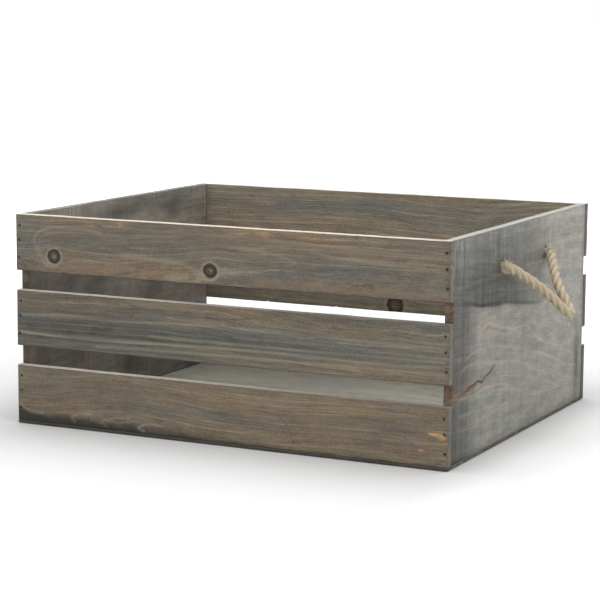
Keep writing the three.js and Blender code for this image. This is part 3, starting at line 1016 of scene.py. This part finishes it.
def leftShade(a, b, inside):
    # Dark brown inside, with dark patches and blotches under a painted shade that is darkest below
    darkPatches = -0.5 * blob(a, b, 182, 190, 48, 10) - 0.2 * blob(a, b, 250, 150, 60, 40)
    darkPatches = darkPatches - 0.2 * blob(a, b, 100, 190, 40, 14)
    blotches = 0.1 * wander(a + 0.6 * b, 31.0, 74) + 0.08 * wander(b - 0.2 * a, 19.0, 75)
    # painted shade on the inner face: darker all over, and most towards the bottom
    within = -0.2 - 0.34 * smoothStep(b, 176, 140) - 0.14 * blob(b, 0, 142, 0, 22, 1)
    within = within + darkPatches + 1.6 * blotches
    weathered = -0.2 * smoothStep(b, 40, 6) - 0.2 * smoothStep(a, 300, 352)
    weathered = weathered + 0.12 * wander(b, 17.0, 76) * smoothStep(b, 110, 190)
    rougher = 1.0 * inside + 0.9 * ~inside * smoothStep(a, 250, 90) * smoothStep(b, 80, 140)
    return np.where(inside, within, weathered + blotches * 0.5), rougher


panelBoards = {
    "end_panel_right": {
        "seed": 21,
        "pith": (60, -120, 0.0),
        "arch": rightArch,
        "shade": rightShade,
        "crack": rightCrack,
        "steps": (2.2, 1.25),
        "finer": ([(62, 46, 1.2)], [(68, 9, 0.7)]),
        "endLight": -0.15,
        "bumps": [(90, 114, 30, 12, -4), (160, 108, 20, 10, -4)],
        "spots": [
            (0, 60, 170, 80, 40, 0.3),
            (0, 90, 35, 120, 25, 0.3),
            (2, 40, 66, 40, 7, 1.0),
            (2, 290, 178, 30, 3, 1.0),
            (0, 100, 100, 60, 14, -0.4),
            (1, 24, 65, 16, 2.5, 0.3),
        ],
        "paleLines": [
            (1.9, 0.78, [
                (60, 106), (66, 111), (76, 116), (88, 118), (104, 114), (120, 109), (134, 107), (160, 103),
                (186, 102), (202, 96), (222, 85), (255, 74), (295, 65)
            ]),
            (3.0, 0.4, [(58, 118), (80, 122), (105, 121)]),
            (1.8, 0.45, [
                (30, 92), (51, 96), (78, 95), (118, 92), (166, 82), (207, 73), (242, 65), (273, 56),
                (307, 45), (346, 37)
            ]),
            (1.8, 0.36, [
                (20, 82), (32, 85), (57, 85), (96, 80), (137, 74), (167, 69), (205, 58), (231, 50),
                (271, 39), (347, 24)
            ]),
            (2.0, 0.3, [(80, 88), (140, 82), (190, 72), (240, 58), (300, 40)]),
            (1.8, 0.5, [
                (15, 58), (53, 56), (86, 58), (120, 55), (144, 50), (169, 41), (194, 33), (215, 29),
                (260, 26), (320, 22)
            ]),
            (2.0, 0.25, [(16, 42), (60, 40), (110, 36), (170, 28), (230, 20)]),
            (2.0, 0.25, [(20, 28), (70, 25), (130, 20), (190, 12)]),
            (1.6, 0.3, [(300, 181), (336, 182)]),
            (3.5, 0.35, [(37, 58), (41, 60)]),
        ],
        "rustLines": [
            (8.0, 0.55, [(4, 62), (22, 63), (36, 64), (50, 66.5), (60, 68)]),
            (4.0, 0.6, [(54, 76), (60, 80)]),
            (3.0, 0.6, [(286, 179), (340, 183)]),
            (3.0, 0.4, [(60, 60), (90, 66), (102, 75)]),
        ],
        "darkLines": [
            (1.9, 1.0, splitLine),
            (1.7, 0.7, [(6, 65), (14, 66.5), (20, 65), (30, 63)]),
            (1.5, 0.6, [(8, 58), (20, 61), (34, 64)]),
            (1.5, 0.7, [(38, 62), (50, 63), (60, 65.5)]),
            (1.4, 0.6, [(56, 68), (66, 70), (76, 69)]),
            (1.5, 0.45, [(58, 73), (60, 77)]),
            (1.5, 0.5, [(200, 46), (203, 43)]),
            (1.3, 0.45, [(214, 25), (216, 26)]),
            (1.4, 0.3, [(300, 178), (336, 179)]),
            (1.8, 0.3, [(70, 103), (84, 113), (100, 111), (120, 106), (140, 103)]),
        ],
    },
    "end_panel_left": {
        "seed": 27,
        "pith": (50, -60, 0.05),
        "arch": leftArch,
        "shade": leftShade,
        "steps": (2.2, 1.4),
        "cool": -0.25,
        "rustInside": 0.08,
        "tan": 0.6,
        "worn": (0, 1, 0.15, 0.15),
        "endLight": -0.5,
        "sawn": 0.45,
        "bumps": [(150, 96, 60, 16, 5)],
        "paleLines": [
            (2.4, 0.5, [(8, 40), (70, 47), (130, 62), (175, 74), (215, 71), (270, 55), (330, 46), (356, 45)]),
            (2.2, 0.4, [
                (8, 66), (80, 73), (140, 92), (180, 103), (216, 97), (262, 80), (330, 68), (356, 66)
            ]),
            (2.2, 0.35, [
                (8, 90), (70, 98), (130, 118), (172, 131), (206, 127), (240, 112), (268, 104), (356, 92)
            ]),
            (2.0, 0.3, [(8, 20), (90, 24), (170, 40), (230, 36), (300, 24), (356, 22)]),
        ],
        "darkLines": [
            (1.4, 0.4, [(8, 150), (60, 153), (120, 151)]),
            (1.3, 0.5, [(318, 12), (340, 14), (356, 13)]),
        ],
    },
}


def addPanels():
    for node, board in panelBoards.items():
        low, high = nodeBox(node)
        way = 1 if "right" in node else -1
        corner = (high[0], low[1], low[2]) if way > 0 else (low[0], high[1], low[2])
        ways = ((0, way, 0), (0, 0, 1), (-way, 0, 0))
        size = (high - low)[[1, 2, 0]]
        holeB = holeHeight - low[2]
        spread, radius = ropeShape["holeSpread"], boardShared["holeRadius"]
        holes = [(size[0] / 2 + side * spread, holeB, radius) for side in (-1, 1)]
        reach = (7.5, boardShared["holeGrid"])
        spots = ([(hole[0], *reach) for hole in holes], [(holeB, *reach)])
        finer = board.get("finer", ((), ()))
        spots = (spots[0] + list(finer[0]), spots[1] + list(finer[1]))
        addBoard(node, board, corner, ways, size, panelWood, (), holes, board["steps"], spots)


def sheetPaintedShadow(a, b, inside):
    # Outer is the face that is seen, up in the crate: a painted shadow darkens it to the left, and it is
    # painted a little paler to the right
    return (-0.3 * smoothStep(a, 330, 130) + 0.08 * smoothStep(a, 330, 430)) * ~inside, np.zeros_like(a)


sheetBoard = {"seed": 33, "pith": (300, 190, 0.0), "cool": 0.1, "shade": sheetPaintedShadow, "steps": (4.0, 4.0)}


def addSheet(board):
    low, high = nodeBox("floor_sheet")
    ways = ((1, 0, 0), (0, 1, 0), (0, 0, -1))
    corner = (low[0], low[1], high[2])
    addBoard("floor_sheet", board, corner, ways, high - low, sheetWood, steps=board["steps"])


addSlats()
addPanels()
addSheet(sheetBoard)
print("boards made")

# Rope

ropeLook = {
    "light": tone(206, 194, 170),
    "dark": tone(171, 156, 131),
    # groove: the colour of the painted shade in the grooves between the strands
    "groove": tone(146, 128, 101),
    "hair": tone(230, 220, 200),
    "roughness": (0.8, 0.95),
    "relief": 0.45,
    "shine": 0.2,
}


def ropeMaterial(look):
    material, tree, shader = newMaterial("ropeFibre")
    lay = attribute(tree, "lay")
    deep = channels(tree, lay)[2]
    yarn = noise(tree, lay, (0.22, 1.7, 0.0), (0, 0, 0), 4, 0.65)
    hair = noise(tree, lay, (0.7, 7.0, 0.0), (5, 1, 2), 3, 0.6)
    worn = noise(tree, lay, (0.06, 0.1, 0.0), (1, 4, 2), 3, 0.6)
    colour = mixed(tree, band(tree, yarn, 0.3, 0.7), look["dark"], look["light"])
    colour = mixed(tree, band(tree, hair, 0.5, 0.72, 0.0, 0.55), colour, look["hair"])
    colour = mixed(tree, band(tree, worn, 0.35, 0.65, 0.0, 0.3), colour, look["dark"])
    # painted shade: the grooves between the strands darkened
    colour = mixed(tree, band(tree, deep, 0.35, 1.0, 0.0, 0.5), colour, look["groove"])
    colour = mixed(tree, band(tree, deep, 0.0, -1.0, 0.0, 0.8), colour, look["hair"])
    height = calc(tree, "ADD", yarn, calc(tree, "MULTIPLY", hair, 0.8))
    rough = band(tree, yarn, 0.3, 0.7, *look["roughness"])
    finishShader(tree, shader, colour, rough, height, look["relief"])
    shader.inputs["Specular IOR Level"].default_value = look["shine"]
    return material


ropeFibre = ropeMaterial(ropeLook)


def ropePiece(name, parts):
    vertices, faces, lay = joinParts(parts)
    piece = makePiece(name, vertices, faces, ropeFibre, {"lay": lay})
    return piece


def ropeRoute(end):
    # The rope's line at one end of the crate, from knot to knot: through a hole, around the loop and back
    way = 1 if end == "right" else -1
    face = crateHigh[0]
    tip = math.radians(ropeShape["restAngle"])
    inside = [(face + out, -ropeShape["holeSpread"], holeHeight + up) for out, up in ropeShape["throughHole"]]
    loop = [
        (face + ropeShape["axisOut"] + out * math.cos(tip), -across, holeHeight - out * math.sin(tip))
        for out, across in ropeShape["loopHalf"] + [ropeShape["loopTip"]]
    ]
    half = np.array(inside + loop)
    whole = np.vstack([half, (half * (1, -1, 1))[-2::-1]])
    return whole * (way, way, 1)


def loopThickness(path):
    # Thinner inside the hole and the knot, a little swollen just outside
    out = np.abs(path[:, 0]) - crateHigh[0]
    swollen = ropeShape["atMouth"] * smoothStep(out, 0.8, 3.0) * smoothStep(out, 12.0, 5.0)
    thinner = ropeShape["inHole"]
    return thinner + (1 - thinner) * smoothStep(out, 0.2, 2.2) + swollen


def knotThickness(path):
    return np.full(len(path), knotShape["scale"])


def knotRoute(way, across):
    # A stopper knot: the end comes in through the hole, wraps back around itself and hangs down
    inner = crateHigh[0] - (panelHigh[0] - panelLow[0])
    radius, (far, near) = knotShape["wrapRadius"], knotShape["wrapIn"]
    turn = np.linspace(0.25, 0.25 + knotShape["turns"], 15) * 2 * math.pi
    inward = np.linspace(far, near, len(turn))
    wraps = np.stack([inward, radius * np.cos(turn), radius * np.sin(turn) - knotShape["drop"]], axis=1)
    start = [(9.0, 0, -3.0), (13.5, -1.0, -2.6), (16.6, -0.6, -0.6)]
    fall = math.radians(knotShape["tailAngle"])
    runs = (3.0, 8.0, knotShape["tailLength"])
    hanging = [(2.5 + math.cos(fall) * run, 2.4, -1.6 - math.sin(fall) * run) for run in runs]
    tail = wraps[-1] + np.array([(1.6, 1.8, -1.2), *hanging])
    local = np.vstack([start, wraps[1:], tail])
    return np.stack([way * (inner - local[:, 0]), across + local[:, 1], holeHeight + local[:, 2]], axis=1)


def addKnot(end, side):
    way = 1 if end == "right" else -1
    across = ropeShape["holeSpread"] * (-1 if side == "front" else 1)
    tube = layTube(knotRoute(way, across), (0, 1, 0.2), ropeShape, knotThickness, 1.5)
    seed = 60 + 2 * (end == "right") + (side == "back")
    look = hairLook
    last = tube["along"] > tube["along"][-1] - look["tailFrom"]
    tuft = tubeHairs(tube, look["tailCount"], look["tailLengths"], look["tailWidth"], seed, last, 1.0, 0.3)
    loose = tubeHairs(tube, look["knotCount"], look["lengths"], look["width"], seed + 10)
    piece = ropePiece(f"knot_{end}_{side}", [(tube["vertices"], tube["faces"], tube["lay"]), tuft, loose])
    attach(piece, "crate")
    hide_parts(f"rope_knot_{end}_{side}")
    return piece


def addRope(end):
    way = 1 if end == "right" else -1
    tip = math.radians(ropeShape["restAngle"])
    tube = layTube(ropeRoute(end), (way * math.sin(tip), 0, math.cos(tip)), ropeShape, loopThickness)
    rope = ropePiece("rope_" + end, [(tube["vertices"], tube["faces"], tube["lay"])])
    out = np.abs(tube["path"][:, 0]) - crateHigh[0]
    seed = 80 + (end == "right")
    look = hairLook
    mouths = (out > 0.6) & (out < 5.0)
    short = tubeHairs(tube, look["count"], look["lengths"], look["width"], seed, out > 1.0)
    frayed = tubeHairs(
        tube, look["mouthCount"], look["mouthLengths"], look["mouthWidth"], seed + 4, mouths, 0.7, 0.7
    )
    hairs = ropePiece("rope_hairs_" + end, [short, frayed])
    for piece in (rope, hairs):
        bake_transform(piece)
    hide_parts("rope_handle_" + end)
    knots = [addKnot(end, side) for side in ("front", "back")]


addRope("left")
addRope("right")


# Brads: the ones the frame brings, in rusty steel

bradLook = {
    "colours": [(0.35, tone(46, 43, 41)), (0.55, tone(60, 50, 42)), (0.7, tone(84, 58, 42))],
    "grain": (900, 900, 900),
    "roughness": (0.45, 0.85),
    "relief": 0.15,
    "metallic": 0.6,
}


def bradMaterial(look):
    material, tree, shader = newMaterial("bradSteel")
    place = addNode(tree, "TexCoord").outputs["Object"]
    rust = noise(tree, place, look["grain"], (0, 0, 0), 4, 0.6)
    rough = band(tree, rust, 0.3, 0.7, *look["roughness"])
    finishShader(tree, shader, ramp(tree, rust, look["colours"]), rough, rust, look["relief"])
    shader.inputs["Metallic"].default_value = look["metallic"]
    return material


bradSteel = bradMaterial(bradLook)
for name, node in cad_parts.items():
    if name.startswith("brad_"):
        node.data.materials.clear()
        node.data.materials.append(bradSteel)

# Room

# The floor's glow is lower near the crate, a painted shadow around it; rightGlow paints that shadow lighter
# on the right
roomSetup = {
    "nearGlow": (0.0, 0.34, 0.0, 0.25),  # from and to this many metres away, and how bright at each
    "rightGlow": (0.0, 0.05, 0.0, 0.14),
    "farGlow": (0.35, 1.2),
    "floorColour": 0.62,
    "floorRoughness": 0.9,
    "floorHeight": -0.4,
    "floorHalf": 8000.0,
    "world": 0.75,
}


def seenDirectly(tree):
    # 1 for rays from the camera, a mirror or glass; 0 for the light that is given to other surfaces
    ray = addNode(tree, "LightPath").outputs
    mirrored = calc(tree, "MAXIMUM", ray["Is Camera Ray"], ray["Is Glossy Ray"])
    return calc(tree, "MAXIMUM", mirrored, ray["Is Transmission Ray"])


def addWorld(setup):
    world = bpy.data.worlds.new("room")
    bpy.context.scene.world = world
    world.use_nodes = True
    tree = world.node_tree
    back = tree.nodes["Background"]
    back.inputs[0].default_value = (1, 1, 1, 1)
    level = calc(tree, "MULTIPLY_ADD", seenDirectly(tree), 1 - setup["world"], setup["world"])
    tree.links.new(level, back.inputs[1])


def vectorCalc(tree, operation, *terms):
    return addNode(tree, "VectorMath", dict(enumerate(terms)), operation=operation).outputs


def addFloor(setup):
    size, height = setup["floorHalf"], setup["floorHeight"]
    corners = np.array([(x * size, y * size, height) for x, y in ((-1, -1), (1, -1), (1, 1), (-1, 1))])
    material, tree, shader = newMaterial("floor")
    white = setup["floorColour"]
    shader.inputs["Base Color"].default_value = (white, white, white, 1)
    shader.inputs["Roughness"].default_value = setup["floorRoughness"]
    shader.inputs["Specular IOR Level"].default_value = 0.0
    shader.inputs["Emission Color"].default_value = (1, 1, 1, 1)
    # The floor's own glow grows with the distance from the crate, faster on the right, and is full far away;
    # its dip near the crate paints a shadow around it, and the faster rise on the right paints that shadow
    # lighter there
    place = addNode(tree, "TexCoord").outputs["Object"]
    half = (crateHigh[0] * mm, crateHigh[1] * mm, 1.0)
    beyond = vectorCalc(tree, "SUBTRACT", vectorCalc(tree, "ABSOLUTE", place)[0], half)[0]
    away = vectorCalc(tree, "LENGTH", vectorCalc(tree, "MAXIMUM", beyond, (0, 0, 0))[0])["Value"]
    toRight = calc(tree, "SUBTRACT", channels(tree, place)[0], half[0])
    shadowShapedGlow = calc(tree, "ADD", band(tree, away, *setup["nearGlow"]), band(tree, toRight, *setup["rightGlow"]))
    shadowShapedGlow = calc(tree, "ADD", shadowShapedGlow, band(tree, away, *setup["farGlow"]))
    tree.links.new(calc(tree, "MULTIPLY", seenDirectly(tree), shadowShapedGlow), shader.inputs["Emission Strength"])
    floor = makePiece("floor", corners, [[0, 1, 2, 3]], material)


lamps = {
    "overhead": {"place": (0, 100, 1900), "aim": (0, 0, 0), "size": 1600, "power": 26},
    "rightSide": {"place": (1900, -500, 900), "aim": (200, 0, 100), "size": 1200, "power": 9},
    "front": {"place": (-300, -2400, 1100), "aim": (0, 0, 100), "size": 1500, "power": 10},
}


def addLamps():
    for name, lamp in lamps.items():
        data = bpy.data.lights.new(name, "AREA")
        data.shape, data.size, data.energy = "DISK", lamp["size"] * mm, lamp["power"]
        light = bpy.data.objects.new(name, data)
        bpy.context.scene.collection.objects.link(light)
        place, aim = Vector(lamp["place"]) * mm, Vector(lamp["aim"]) * mm
        turned = (aim - place).to_track_quat("-Z", "Y").to_matrix().to_4x4()
        light.matrix_world = Matrix.Translation(place) @ turned


bpy.context.scene.view_settings.view_transform = "Standard"
addWorld(roomSetup)
addFloor(roomSetup)
addLamps()
print("room made")
